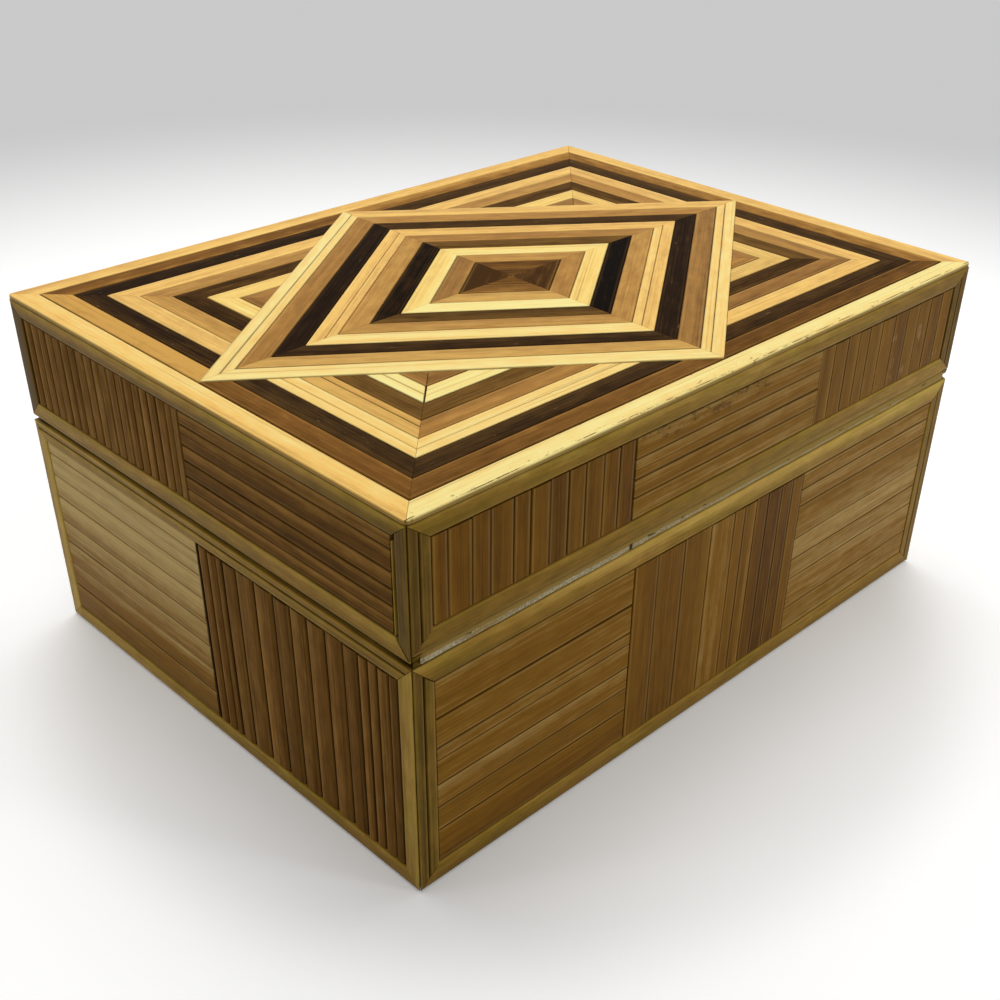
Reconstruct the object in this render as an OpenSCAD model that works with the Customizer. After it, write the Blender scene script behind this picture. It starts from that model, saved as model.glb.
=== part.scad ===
// Straw-inlaid trinket box with a cloth-hinged lid.
// Millimetres. +Z is up, the hinge is at +Y, and the origin is the centre of the underside.

/* [Box] */
// Outside length, over the frames of the two ends
box_l = 152.4; // [140:0.2:170]
// Outside width, over the frames of the front and back
box_w = 114.4; // [104:0.2:128]
// Height to the top of the lid's border
box_h = 72.8; // [64:0.2:84]
// Height of the seam between base and lid
seam_z = 47.6; // [42:0.2:54]

/* [Wooden case] */
// Thickness of the side walls
wall_t = 4; // [3:0.5:6]
// Thickness of the bottom and top boards
board_t = 3; // [2:0.5:4]
// Thickness of the padded cloth linings
lining_t = 1; // [0.6:0.1:1.5]
// Space between a lining's edge and the walls
lining_gap = 0.2; // [0.1:0.1:0.5]
// Space between the closed rims
rim_gap = 0.2; // [0.1:0.05:0.3]

/* [Split straw] */
// Thickness of the frame strips on the sides
frame_t = 1; // [0.8:0.1:1.2]
// Thickness of the panel strips on the sides
strip_t = 0.8; // [0.6:0.1:1]
// Thickness of the strips on the top
tile_t = 0.8; // [0.6:0.1:1.2]
// Thickness of the diamond's strips, which stand a little proud
diamond_t = 1; // [0.8:0.1:1.4]
// Width of the upright frame strips
stile_w = 3.7; // [3:0.1:4.5]
// Gap between neighbouring strips
gap = 0.12; // [0.08:0.02:0.2]
// From the seam up to the lid's straw on the front and ends
lid_groove = 0.2; // [0.15:0.05:0.6]
// From the seam up to the lid's straw on the back, where the hinge cloth shows
hinge_groove = 1.4; // [1:0.1:1.8]
// From the seam down to the base's straw
base_groove = 0.6; // [0.5:0.05:0.8]

/* [Pattern of the top] */
// Width of the rectangular bands
band_w = 4.4; // [4:0.1:4.6]
// Width of the diamond's bands
diamond_band_w = 4.28; // [4:0.02:4.6]

/* [Hinge] */
// Height of each glued leaf of the hinge cloth
leaf_h = 12; // [8:0.5:16]
// Thickness of the hinge cloth
cloth_t = 0.3; // [0.25:0.05:0.4]
// Radius of the cloth's rolled fold
fold_r = 0.28; // [0.25:0.01:0.28]
// How far the fold's centre lies outside the case
fold_out = 0.3; // [0.3:0.01:0.32]

/* [Hidden] */
$fn = 48;

// Straw and case colours
pale = [0.90, 0.74, 0.42];
cream = [0.95, 0.82, 0.47];
tan_straw = [0.68, 0.48, 0.26];
chestnut = [0.47, 0.29, 0.15];
dark_straw = [0.25, 0.15, 0.09];
black_straw = [0.14, 0.09, 0.07];
olive = [0.47, 0.38, 0.16];
honey = [0.44, 0.32, 0.16];
umber = [0.32, 0.21, 0.11];
case_wood = [0.78, 0.64, 0.44];
lining_grey = [0.42, 0.44, 0.45];
cloth_grey = [0.60, 0.61, 0.60];

// The four sides, as turns about Z from the front
FRONT = 0;
RIGHT = 90;
BACK = 180;
LEFT = 270;

// The wooden case under the straw
case_l = box_l - 2 * frame_t;
case_w = box_w - 2 * frame_t;
case_top = box_h - tile_t;
rim_base = seam_z - rim_gap / 2;
rim_lid = seam_z + rim_gap / 2;
inside_l = case_l - 2 * wall_t;
inside_w = case_w - 2 * wall_t;

// The end frames cover the edges of the front and back straw
end_face_w = case_w + 2 * frame_t - 0.2;
long_face_w = case_l;
straw_foot = 0.2;
straw_head = case_top - gap / 2;

// Widths of the level frame strips: bottom, then top
base_rails = [4.2, 4.5];
lid_rails = [3.9, 3.6];
base_end_rails = [3.4, 3.8];
lid_end_rails = [3.7, 3.1];

// Where the panels meet, measured from the middle of the side, seen from outside
lid_edges = [-27, 25];
base_edges = [-25, 25];
end_edge = -1;

// Strip widths in order, left to right or top to bottom, seen from outside
lid_long_left = [3.2, 4.8, 3.7, 4.9, 3.6, 4.1, 4.2, 3.9, 4.2, 3.8, 3.7];
lid_long_middle = [4.1, 4.0, 3.6, 4.2];
lid_long_right = [4.4, 4.4, 3.9, 3.5, 4.4, 4.6, 4.7, 4.4, 4.3, 4.2, 4.1];
base_long_left = [7.6, 6.0, 2.5, 5.2, 4.8, 5.1, 7.0];
base_long_middle = [3.1, 3.2, 3.9, 3.5, 3.8, 3.7, 3.2, 3.7, 3.2, 3.5, 3.8, 4.2, 3.7, 3.4];
base_long_right = [3.8, 3.8, 7.6, 5.0, 4.7, 7.4, 5.8];
lid_end_left = [
    2.5, 2.7, 2.7, 2.6, 2.7, 2.8, 2.5, 2.9, 2.9, 2.4, 2.7, 2.7, 2.8, 2.6, 2.5, 2.6, 2.7, 2.8, 1.9, 2.2
];
lid_end_right = [2.7, 4.1, 3.1, 3.2, 2.6, 2.6];
base_end_left = [2.5, 4.8, 5.0, 5.5, 5.0, 5.4, 5.2, 6.0];
base_end_right = [2.6, 2.6, 1.8, 3.8, 5.1, 5.2, 4.5, 4.4, 4.6, 4.4, 3.7, 2.3, 2.3, 2.6, 2.2];

// The top's rectangle and diamond
half_l = box_l / 2;
half_w = box_w / 2;
diamond_x = half_l - band_w;
diamond_y = half_w - band_w;
diamond_reach = diamond_x * diamond_y / sqrt(diamond_x * diamond_x + diamond_y * diamond_y);
diamond_bands = 8;
rect_bands = 7;
big = 400;
overcut = 0.001;

// List helpers
function total(v, n) = n <= 0 ? 0 : v[n - 1] + total(v, n - 1);
function turned(v) = [for (i = [len(v) - 1:-1:0]) v[i]];
function inward(a, b) = let (d = (b - a) / norm(b - a)) [-d[1], d[0]];

// Moves every edge of a counter-clockwise outline inwards by g
function inset(p, g) = [
    for (i = [0:len(p) - 1])
        let (
            before = inward(p[(i + len(p) - 1) % len(p)], p[i]),
            after = inward(p[i], p[(i + 1) % len(p)])
        )
        p[i] + (before + after) * g / (1 + before * after)
];

// Section of a split straw: flat below, crowned above
function crown(w, t) = [
    [0, 0], [w, 0], [w, 0.7 * t], [0.75 * w, 0.95 * t], [0.5 * w, t], [0.25 * w, 0.95 * t], [0, 0.7 * t]
];

// Lays flat work, drawn with X to the right and Y up, on one side of the case
module on_side(side) {
    out = (side == FRONT || side == BACK) ? case_w / 2 : case_l / 2;
    rotate([0, 0, side]) translate([0, -out, 0]) rotate([90, 0, 0]) children();
}

// A crowned straw that lies along X, from (x, y)
module straw_level(x, y, l, w, t) {
    translate([x, y, 0]) rotate([90, 0, 90]) linear_extrude(l) polygon(crown(w, t));
}

// A crowned straw that stands along Y, from (x, y)
module straw_upright(x, y, l, w, t) {
    translate([x, y + l, 0]) rotate([90, 0, 0]) linear_extrude(l) polygon(crown(w, t));
}

// One flat tile of the top, with its share of the gaps taken off
module tile(outline, t) {
    linear_extrude(t) polygon(inset(outline, gap / 2));
}

// Cuts a straw to a mitred outline
module mitred(outline) {
    intersection() {
        children();
        linear_extrude(2 * frame_t) polygon(inset(outline, gap / 2));
    }
}

// A picture frame of mitred straws, w wide, over the heights in span
module straw_frame(w, span, rails, split_stiles) {
    x0 = -w / 2;
    x1 = x0 + stile_w;
    z0 = span[0];
    z3 = span[1];
    z1 = z0 + rails[0];
    z2 = z3 - rails[1];
    color(olive) {
        mitred([[x0, z0], [-x0, z0], [-x1, z1], [x1, z1]]) straw_level(x0, z0, w, rails[0], frame_t);
        mitred([[x1, z2], [-x1, z2], [-x0, z3], [x0, z3]]) straw_level(x0, z2, w, rails[1], frame_t);
        for (hand = [0, 1]) mirror([hand, 0, 0])
            mitred([[x0, z0], [x1, z1], [x1, z2], [x0, z3]])
                stile_straws(x0, z0, z3 - z0, split_stiles ? 2 : 1);
    }
}

// A stile is one wide straw, or two narrow ones side by side
module stile_straws(x, y, l, count) {
    w = stile_w / count;
    for (i = [0:count - 1])
        straw_upright(x + i * w + (i > 0 ? gap / 2 : 0), y, l, w - (count > 1 ? gap / 2 : 0), frame_t);
}

// A panel of straws side by side, sharing its width or height as the list says
module straw_panel(x0, x1, y0, y1, widths, upright) {
    room = upright ? x1 - x0 : y1 - y0;
    scale_to_room = room / total(widths, len(widths));
    for (i = [0:len(widths) - 1]) {
        at = scale_to_room * total(widths, i);
        w = scale_to_room * widths[i] - gap;
        if (upright) straw_upright(x0 + at + gap / 2, y0 + gap / 2, y1 - y0 - gap, w, strip_t);
        else straw_level(x0 + gap / 2, y1 - at - w - gap / 2, x1 - x0 - gap, w, strip_t);
    }
}

// The heights that the straw of each half of the box covers
base_span = [straw_foot, seam_z - base_groove];
lid_span = [seam_z + lid_groove, straw_head];
lid_back_span = [seam_z + hinge_groove, straw_head];

// The heights left between a frame's rails
function inside_rails(span, rails) = [span[0] + rails[0], span[1] - rails[1]];

// Frames of the long sides have split stiles, those of the ends have whole ones
module long_frame(side, span, rails) {
    on_side(side) straw_frame(long_face_w, span, rails, true);
}
module end_frame(side, span, rails) {
    difference() {
        on_side(side) straw_frame(end_face_w, span, rails, false);
        swing_relief();
    }
}

// Takes the corners off the end frames at the hinge, so that the lid can swing back past them
module swing_relief() {
    translate([-big / 2, hinge_y, seam_z]) rotate([90, 0, 90]) linear_extrude(big)
        polygon([[0, 0], [2 * frame_t, -4 * frame_t], [2 * frame_t, 4 * frame_t]]);
}

// The outer two of the three panels on a long side
module outer_panels(side, heights, edges, left, right, upright) {
    far = long_face_w / 2 - stile_w;
    color(honey) on_side(side) {
        straw_panel(-far, edges[0], heights[0], heights[1], left, upright);
        straw_panel(edges[1], far, heights[0], heights[1], right, upright);
    }
}

// The middle panel on a long side
module middle_panel(side, heights, edges, widths, upright) {
    color(honey) on_side(side) straw_panel(edges[0], edges[1], heights[0], heights[1], widths, upright);
}

// The left and the right panel on an end, seen from outside
module end_left_panel(side, heights, widths, upright, tint) {
    far = end_face_w / 2 - stile_w;
    color(tint) on_side(side) straw_panel(-far, end_edge, heights[0], heights[1], widths, upright);
}
module end_right_panel(side, heights, widths, upright, tint) {
    far = end_face_w / 2 - stile_w;
    color(tint) on_side(side) straw_panel(end_edge, far, heights[0], heights[1], widths, upright);
}

// Wooden case of the base
module base_bottom_board() {
    color(case_wood) translate([-case_l / 2, -case_w / 2, 0]) cube([case_l, case_w, board_t]);
}
module case_wall_long(z0, z1) {
    color(case_wood) translate([-case_l / 2, -case_w / 2, z0]) cube([case_l, wall_t, z1 - z0]);
}
module case_wall_end(z0, z1) {
    color(case_wood) translate([case_l / 2 - wall_t, -inside_w / 2, z0]) cube([wall_t, inside_w, z1 - z0]);
}
module base_front_wall() case_wall_long(board_t, rim_base);
module base_left_wall() mirror([1, 0, 0]) case_wall_end(board_t, rim_base);
module base_right_wall() case_wall_end(board_t, rim_base);
module base_back_wall() {
    difference() {
        mirror([0, 1, 0]) case_wall_long(board_t, rim_base);
        leaf_seat(rim_base - leaf_h);
    }
}
module base_floor_lining() lining_pad(board_t);

// Wooden case of the lid
module lid_top_board() {
    color(case_wood) translate([-case_l / 2, -case_w / 2, case_top - board_t])
        cube([case_l, case_w, board_t]);
}
module lid_front_wall() case_wall_long(rim_lid, case_top - board_t);
module lid_left_wall() mirror([1, 0, 0]) case_wall_end(rim_lid, case_top - board_t);
module lid_right_wall() case_wall_end(rim_lid, case_top - board_t);
module lid_back_wall() {
    difference() {
        mirror([0, 1, 0]) case_wall_long(rim_lid, case_top - board_t);
        leaf_seat(rim_lid);
    }
}
module lid_lining() lining_pad(case_top - board_t - lining_t);

// Padded cloth that covers the inside of a board
module lining_pad(z) {
    l = inside_l - 2 * lining_gap;
    w = inside_w - 2 * lining_gap;
    color(lining_grey) translate([-l / 2, -w / 2, z]) cube([l, w, lining_t]);
}

// Shallow seat for a hinge leaf, cut into the back of the case
module leaf_seat(z) {
    translate([-big / 2, case_w / 2 - cloth_t, z - overcut]) cube([big, wall_t, leaf_h + 2 * overcut]);
}

// Hinge cloth: two glued leaves, joined by a rolled fold on the hinge line
hinge_l = case_l - 2;
hinge_y = case_w / 2 + fold_out;
// Play between the fold and the lid's leaf
fold_play = 0.03;
// Play between a leaf and the straw frame beyond it
leaf_play = 0.04;
// Where a leaf passes the fold, as heights over the hinge line
leaf_at_fold = fold_r - 0.08;
leaf_past_fold = fold_r + 0.12;

// A leaf with the strip that reaches the fold, as a section in Y and Z from the hinge line
function leaf_section(groove) = [
    [-fold_out - cloth_t, rim_gap / 2], [-fold_out, rim_gap], [0, leaf_at_fold],
    [0.1, leaf_past_fold], [-fold_out, groove - leaf_play],
    [-fold_out, leaf_h + rim_gap / 2], [-fold_out - cloth_t, leaf_h + rim_gap / 2]
];
module hinge_leaf(groove, fold_hole_r) {
    color(cloth_grey) translate([-hinge_l / 2, hinge_y, seam_z]) rotate([90, 0, 90])
        linear_extrude(hinge_l) difference() {
            polygon(leaf_section(groove));
            circle(r = fold_hole_r);
        }
}
module hinge_cloth_lid_leaf() hinge_leaf(hinge_groove, fold_r + fold_play);
module hinge_cloth_base_leaf() {
    translate([0, 0, 2 * seam_z]) mirror([0, 0, 1]) hinge_leaf(base_groove, fold_r);
}
module hinge_cloth_fold() {
    color(cloth_grey) translate([-hinge_l / 2, hinge_y, seam_z]) rotate([0, 90, 0])
        cylinder(r = fold_r, h = hinge_l);
}

// Straw of the base
base_heights = inside_rails(base_span, base_rails);
base_end_heights = inside_rails(base_span, base_end_rails);
module base_front_frame() long_frame(FRONT, base_span, base_rails);
module base_front_outer_panels() {
    outer_panels(FRONT, base_heights, base_edges, turned(base_long_right), turned(base_long_left), false);
}
module base_front_middle_panel() {
    middle_panel(FRONT, base_heights, base_edges, turned(base_long_middle), true);
}
module base_back_frame() long_frame(BACK, base_span, base_rails);
module base_back_outer_panels() {
    outer_panels(BACK, base_heights, base_edges, base_long_left, base_long_right, false);
}
module base_back_middle_panel() middle_panel(BACK, base_heights, base_edges, base_long_middle, true);
module base_left_frame() end_frame(LEFT, base_span, base_end_rails);
module base_left_back_panel() end_left_panel(LEFT, base_end_heights, turned(base_end_left), false, honey);
module base_left_front_panel() end_right_panel(LEFT, base_end_heights, turned(base_end_right), true, umber);
module base_right_frame() end_frame(RIGHT, base_span, base_end_rails);
module base_right_front_panel() end_left_panel(RIGHT, base_end_heights, base_end_left, false, honey);
module base_right_back_panel() end_right_panel(RIGHT, base_end_heights, base_end_right, true, umber);

// Straw of the lid's sides
lid_heights = inside_rails(lid_span, lid_rails);
lid_back_heights = inside_rails(lid_back_span, lid_rails);
lid_end_heights = inside_rails(lid_span, lid_end_rails);
module lid_front_frame() long_frame(FRONT, lid_span, lid_rails);
module lid_front_outer_panels() {
    outer_panels(FRONT, lid_heights, lid_edges, turned(lid_long_right), turned(lid_long_left), true);
}
module lid_front_middle_panel() {
    middle_panel(FRONT, lid_heights, lid_edges, turned(lid_long_middle), false);
}
module lid_back_frame() long_frame(BACK, lid_back_span, lid_rails);
module lid_back_outer_panels() {
    outer_panels(BACK, lid_back_heights, lid_edges, lid_long_left, lid_long_right, true);
}
module lid_back_middle_panel() middle_panel(BACK, lid_back_heights, lid_edges, lid_long_middle, false);
module lid_left_frame() end_frame(LEFT, lid_span, lid_end_rails);
module lid_left_back_panel() end_left_panel(LEFT, lid_end_heights, turned(lid_end_left), true, umber);
module lid_left_front_panel() end_right_panel(LEFT, lid_end_heights, turned(lid_end_right), false, umber);
module lid_right_frame() end_frame(RIGHT, lid_span, lid_end_rails);
module lid_right_front_panel() end_left_panel(RIGHT, lid_end_heights, lid_end_left, true, umber);
module lid_right_back_panel() end_right_panel(RIGHT, lid_end_heights, lid_end_right, false, umber);

// The border of the top, four mitred strips that also cover the upper ends of the side frames
module top_border() {
    x1 = diamond_x;
    y1 = diamond_y;
    color(pale) translate([0, 0, case_top]) {
        for (hand = [0, 1]) mirror([0, hand, 0])
            tile([[-half_l, -half_w], [half_l, -half_w], [x1, -y1], [-x1, -y1]], tile_t);
        for (hand = [0, 1]) mirror([hand, 0, 0])
            tile([[half_l, -half_w], [half_l, half_w], [x1, y1], [x1, -y1]], tile_t);
    }
}

// Where the diamond's edge crosses a line of constant y, or of constant x, in the first quarter
function edge_x(y) = diamond_x * (1 - y / diamond_y);
function edge_y(x) = diamond_y * (1 - x / diamond_x);

// Draws something in each quarter of the top
module four_corners() {
    translate([0, 0, case_top])
        for (mx = [0, 1]) mirror([mx, 0, 0])
            for (my = [0, 1]) mirror([0, my, 0])
                children();
}

// Rectangular band k, counted from the border, stopped by the diamond: two legs in each corner
module top_band(k, tint) {
    x1 = half_l - k * band_w;
    y1 = half_w - k * band_w;
    x2 = x1 - band_w;
    y2 = y1 - band_w;
    color(tint) four_corners() {
        tile([[edge_x(y2), y2], [x2, y2], [x1, y1], [edge_x(y1), y1]], tile_t);
        tile([[x2, edge_y(x2)], [x1, edge_y(x1)], [x1, y1], [x2, y2]], tile_t);
    }
}
module top_band_chestnut() top_band(1, chestnut);
module top_band_black() top_band(2, black_straw);
module top_band_pale() top_band(3, pale);
module top_band_tan() top_band(4, tan_straw);
module top_band_dark() top_band(5, dark_straw);
module top_band_cream() top_band(6, cream);

// The two small triangles left in each corner between the last band and the diamond
module top_corner_triangles() {
    x = half_l - rect_bands * band_w;
    y = half_w - rect_bands * band_w;
    // Where the corner's mitre line meets the diamond
    mitre_x = (1 + (x - y) / diamond_y) / (1 / diamond_x + 1 / diamond_y);
    meet = [mitre_x, mitre_x - (x - y)];
    color(tan_straw) four_corners() {
        tile([[edge_x(y), y], meet, [x, y]], tile_t);
        tile([meet, [x, edge_y(x)], [x, y]], tile_t);
    }
}

// The diamond: eight bands of four strips round a centre of four triangles
function shrink(k) = 1 - k * diamond_band_w / diamond_reach;
module diamond_band(k, tint) {
    outer = shrink(k - 1);
    inner = shrink(k);
    color(tint) four_corners()
        tile([
            [inner * diamond_x, 0], [outer * diamond_x, 0],
            [0, outer * diamond_y], [0, inner * diamond_y]
        ], diamond_t);
}
module diamond_band_1_pale() diamond_band(1, pale);
module diamond_band_2_tan() diamond_band(2, tan_straw);
module diamond_band_3_black() diamond_band(3, black_straw);
module diamond_band_4_pale() diamond_band(4, pale);
module diamond_band_5_tan() diamond_band(5, tan_straw);
module diamond_band_6_dark() diamond_band(6, dark_straw);
module diamond_band_7_cream() diamond_band(7, cream);
module diamond_band_8_tan() diamond_band(8, tan_straw);
module diamond_centre() {
    s = shrink(diamond_bands);
    color(umber) four_corners() tile([[0, 0], [s * diamond_x, 0], [0, s * diamond_y]], diamond_t);
}

base_bottom_board();
base_front_wall();
base_back_wall();
base_left_wall();
base_right_wall();
base_floor_lining();
base_front_frame();
base_front_outer_panels();
base_front_middle_panel();
base_back_frame();
base_back_outer_panels();
base_back_middle_panel();
base_left_frame();
base_left_front_panel();
base_left_back_panel();
base_right_frame();
base_right_front_panel();
base_right_back_panel();
hinge_cloth_base_leaf();
hinge_cloth_fold();
hinge_cloth_lid_leaf();
lid_top_board();
lid_front_wall();
lid_back_wall();
lid_left_wall();
lid_right_wall();
lid_lining();
lid_front_frame();
lid_front_outer_panels();
lid_front_middle_panel();
lid_back_frame();
lid_back_outer_panels();
lid_back_middle_panel();
lid_left_frame();
lid_left_front_panel();
lid_left_back_panel();
lid_right_frame();
lid_right_front_panel();
lid_right_back_panel();
top_border();
top_band_chestnut();
top_band_black();
top_band_pale();
top_band_tan();
top_band_dark();
top_band_cream();
top_corner_triangles();
diamond_band_1_pale();
diamond_band_2_tan();
diamond_band_3_black();
diamond_band_4_pale();
diamond_band_5_tan();
diamond_band_6_dark();
diamond_band_7_cream();
diamond_band_8_tan();
diamond_centre();
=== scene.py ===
"""Straw-inlaid trinket box: the looks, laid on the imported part."""
import math
import random

import bmesh
import bpy
import numpy as np
from mathutils import Matrix, Vector


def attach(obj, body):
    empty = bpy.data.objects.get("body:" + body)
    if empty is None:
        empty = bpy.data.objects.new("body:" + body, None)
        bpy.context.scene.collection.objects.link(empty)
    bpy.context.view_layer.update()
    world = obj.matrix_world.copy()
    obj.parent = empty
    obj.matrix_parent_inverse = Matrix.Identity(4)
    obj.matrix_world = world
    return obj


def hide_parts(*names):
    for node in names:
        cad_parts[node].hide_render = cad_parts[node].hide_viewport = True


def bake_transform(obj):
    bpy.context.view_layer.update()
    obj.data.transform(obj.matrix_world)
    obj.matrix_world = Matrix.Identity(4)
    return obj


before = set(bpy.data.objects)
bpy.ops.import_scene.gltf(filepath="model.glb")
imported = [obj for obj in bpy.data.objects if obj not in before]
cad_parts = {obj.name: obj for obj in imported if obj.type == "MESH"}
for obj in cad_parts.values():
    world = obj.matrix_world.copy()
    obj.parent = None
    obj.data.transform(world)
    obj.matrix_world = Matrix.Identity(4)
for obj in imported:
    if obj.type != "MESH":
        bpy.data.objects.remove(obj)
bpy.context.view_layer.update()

# Sizes of the box, in millimetres, as in the part's source
MM = 0.001
BOX_L, BOX_W, BOX_H, SEAM_Z = 152.4, 114.4, 72.8, 47.6
WALL_T, BOARD_T, LINING_T, LINING_GAP = 4.0, 3.0, 1.0, 0.2
FRAME_T, STRIP_T, TILE_T, DIAMOND_T = 1.0, 0.8, 0.8, 1.0
STILE_W = 3.7
LID_GROOVE, HINGE_GROOVE, BASE_GROOVE = 0.2, 1.4, 0.6
BAND_W, DIAMOND_BAND_W = 4.4, 4.28
LEAF_H, FOLD_OUT = 12.0, 0.3
HALF_L, HALF_W = BOX_L / 2, BOX_W / 2
DIAMOND_X, DIAMOND_Y = HALF_L - BAND_W, HALF_W - BAND_W
CASE_L, CASE_W, CASE_TOP = BOX_L - 2 * FRAME_T, BOX_W - 2 * FRAME_T, BOX_H - TILE_T
END_FACE_W, LONG_FACE_W = BOX_W - 0.2, CASE_L
HINGE_Y = CASE_W / 2 + FOLD_OUT

# The gap between neighbouring straws, where one stands open, and what each end keeps from a mitre
GAP, CRACK, MITRE_ROOM, OPEN_MITRE = 0.1, 0.26, 0.02, 0.18

# Half the gap between a panel's straws, drawn between two limits, what glue keeps from the ends of its joint,
# and what a band's straws keep from the next band and from each other
PANEL_JOINT, GLUE_ROOM, BAND_ROOM, PIECED_ROOM = (0.02, 0.05), 0.1, 0.03, 0.035

# What a loose straw keeps from its neighbours, a shrunken one from the mitre at its foot, a frame from the
# box's upright edges, and a split rail's gap
LOOSE_GAP, FOOT_GAP, CORNER_GAP, RAIL_CRACK = 0.12, 0.3, 0.07, 0.2

# Heights that the straw covers
BASE_SPAN = (0.2, SEAM_Z - BASE_GROOVE)
LID_SPAN = (SEAM_Z + LID_GROOVE, CASE_TOP - 0.06)
LID_BACK_SPAN = (SEAM_Z + HINGE_GROOVE, CASE_TOP - 0.06)

# Where the ends' two panels meet, and what the left one of two panels keeps from the right one
END_EDGE, SPLIT, END_SPLIT = -1, 0.25, 0.4

FRONT, RIGHT, BACK, LEFT = 0, 90, 180, 270
SIDES_SEED, TOP_SEED = 41, 5
chance = random.Random(SIDES_SEED)


def side_face(side):
    """From a side's flat layout, x right, y up and z out in millimetres, to the box in metres."""
    out = CASE_W / 2 if side in (FRONT, BACK) else CASE_L / 2
    turn = Matrix.Rotation(math.radians(side), 4, "Z")
    lay_back = Matrix.Rotation(math.radians(90), 4, "X")
    return Matrix.Scale(MM, 4) @ turn @ Matrix.Translation((0, -out, 0)) @ lay_back


TOP_FACE = Matrix.Scale(MM, 4) @ Matrix.Translation((0, 0, CASE_TOP))


def about(amount):
    """A random share of an amount, to either side."""
    return chance.uniform(-amount, amount)


def clear_selection():
    """Leaves nothing selected, so that an operator reaches only the new piece."""
    if bpy.context.object and bpy.context.object.mode != "OBJECT":
        bpy.ops.object.mode_set(mode="OBJECT")
    bpy.ops.object.select_all(action="DESELECT")


def take_up(piece):
    """Makes one piece the only selected and the active one."""
    clear_selection()
    piece.select_set(True)
    bpy.context.view_layer.objects.active = piece


def add_block(middle, size):
    """A box of a size about its middle."""
    clear_selection()
    bpy.ops.mesh.primitive_cube_add(size=1, calc_uvs=False, location=middle, scale=size)
    bpy.ops.object.transform_apply()
    return bpy.context.object


def pick_edges(test):
    """Selects the edges of the mesh being edited whose two ends pass the test."""
    mesh = bmesh.from_edit_mesh(bpy.context.object.data)
    for edge in mesh.edges:
        edge.select_set(test(edge.verts[0].co, edge.verts[1].co))
    mesh.select_flush_mode()
    bmesh.update_edit_mesh(bpy.context.object.data)


def slice_piece(piece, cuts, merge=0.000001):
    """Cuts a piece at planes, each a point, a direction, and whether what lies that way is taken off."""
    take_up(piece)
    bpy.ops.object.mode_set(mode="EDIT")
    for point, away, clear in cuts:
        bpy.ops.mesh.select_all(action="SELECT")
        bpy.ops.mesh.bisect(plane_co=point, plane_no=away, use_fill=clear, clear_outer=clear, threshold=merge)
    bpy.ops.object.mode_set(mode="OBJECT")


# Sections of straw: how far the shoulders reach in, their facets, and how square they are
SECTIONS = {
    "reed": (0.36, 5, 0.52),
    "rib": (0.34, 6, 0.5),
    "frame": (0.24, 5, 0.56),
    "clapboard": (0.14, 3, 0.5),
    "flat": (0.06, 3, 0.5),
    "border": (0.16, 4, 0.5),
}

# A straw is divided along its length about this often, at most so many times, to carry its tones
LENGTH_STEP, MOST_LENGTHS = 6, 24
straw_blanks = {}


def straw_blank(section, lengths):
    """A straw one unit long, wide and thick on X, Y and Z, modelled once for each section and division."""
    if (section, lengths) in straw_blanks:
        return straw_blanks[section, lengths]
    reach, facets, squareness = SECTIONS[section]
    # Half as thick at first, so that the shoulders reach down twice as far as in
    blank = add_block((0.5, 0.5, 0.25), (1, 1, 0.5))
    bpy.ops.object.mode_set(mode="EDIT")
    bpy.ops.mesh.select_mode(type="EDGE")
    pick_edges(lambda a, b: a.z > 0.4 and b.z > 0.4 and abs(a.x - b.x) > 0.5)
    bpy.ops.mesh.bevel(offset=reach, segments=facets, profile=squareness, affect="EDGES")
    bpy.ops.mesh.select_all(action="SELECT")
    bpy.ops.mesh.remove_doubles(threshold=0.004)
    pick_edges(lambda a, b: abs(a.x - b.x) > 0.5)
    bpy.ops.mesh.subdivide(number_cuts=lengths - 1)
    bpy.ops.mesh.select_all(action="SELECT")
    bpy.ops.transform.resize(value=(1, 1, 2), center_override=(0, 0, 0))
    bpy.ops.object.mode_set(mode="OBJECT")
    blank.name = f"blank_{section}_{lengths}"
    blank.hide_render = True
    straw_blanks[section, lengths] = blank
    return blank


def mark_grain(mesh, tone, lean=0.0):
    """Gives a straw its grain layout, hue and tone, which may lean to one edge as painted light and shade.

    A list of tones is spread evenly along the straw.
    """
    co = np.empty(len(mesh.vertices) * 3)
    mesh.vertices.foreach_get("co", co)
    co = co.reshape(-1, 3)
    half = (co[:, 1].max() - co[:, 1].min()) / 2
    hue, grime = about(1), chance.uniform(0.2, 1)
    tones = np.atleast_1d(tone)
    tone = np.interp(co[:, 0], np.linspace(co[:, 0].min(), co[:, 0].max(), len(tones)), tones)
    for name, value in (
        ("across", co[:, 1] - co[:, 1].min() - half), ("half", half), ("tone", tone), ("hue", hue),
        # A given lean is painted light towards one edge and painted shade towards the other; the part that
        # follows the hue is random.
        ("grime", grime), ("lean", lean + 0.12 * hue),
    ):
        mark = mesh.attributes.new(name, "FLOAT", "POINT")
        mark.data.foreach_set("value", np.broadcast_to(value, len(co)).astype(np.float32))
    corners = np.empty(len(mesh.loops), np.int32)
    mesh.loops.foreach_get("vertex_index", corners)
    grain = mesh.uv_layers.new(name="grain")
    start = np.array([chance.uniform(0, 3), chance.uniform(0, 3)])
    layout = co[corners][:, :2] * MM + start
    layout[:, 1] += co[corners][:, 2] * MM
    grain.data.foreach_set("uv", layout.astype(np.float32).ravel())


def fill_mark(piece, name, value):
    """Gives one of a straw's marks the same value all over."""
    for mark in piece.data.attributes[name].data:
        mark.value = value


def oblong(x0, x1, y0, y1):
    """The outline of an upright rectangle, counter-clockwise from its lower left corner."""
    return [(x0, y0), (x1, y0), (x1, y1), (x0, y1)]


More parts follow.
